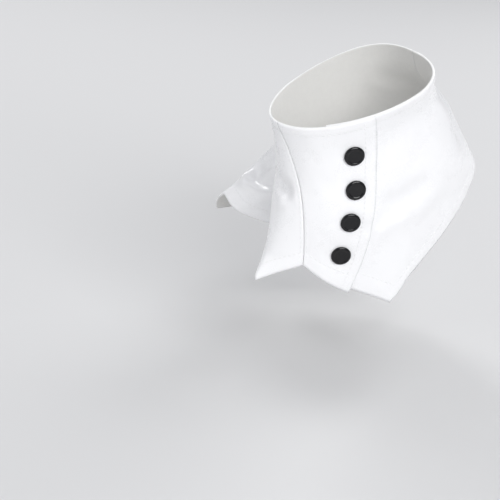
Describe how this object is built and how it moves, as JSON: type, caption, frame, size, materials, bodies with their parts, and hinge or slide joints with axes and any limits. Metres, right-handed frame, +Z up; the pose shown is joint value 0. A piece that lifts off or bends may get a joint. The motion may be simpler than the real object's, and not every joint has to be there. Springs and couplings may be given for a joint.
{
  "type": "pair of spats",
  "caption": "Pair of glossy white leatherette spats in the form worn over shoes, one on a raised heel, with black press-snaps down the outer side of each.",
  "frame": {"origin": "centre of the left spat's ankle section, where the wearer's left ankle holds it", "axes": "+Z up, -Y the way the wearer faces, +X to the wearer's left"},
  "size_m": [0.1885, 0.1707, 0.1999],
  "materials": {
    "leatherette": "glossy coated",
    "snap_cap": "gloss"
  },
  "bodies": {
    "root": {"left_inner_panel": "leatherette", "left_outer_front_panel": "leatherette", "left_outer_back_panel": "leatherette", "left_button_1": "snap_cap", "left_button_2": "snap_cap", "left_button_3": "snap_cap", "left_button_4": "snap_cap", "right_inner_panel": "leatherette", "right_outer_front_panel": "leatherette", "right_outer_back_panel": "leatherette", "right_button_1": "snap_cap", "right_button_2": "snap_cap", "right_button_3": "snap_cap", "right_button_4": "snap_cap"}
  },
  "joints": []
}
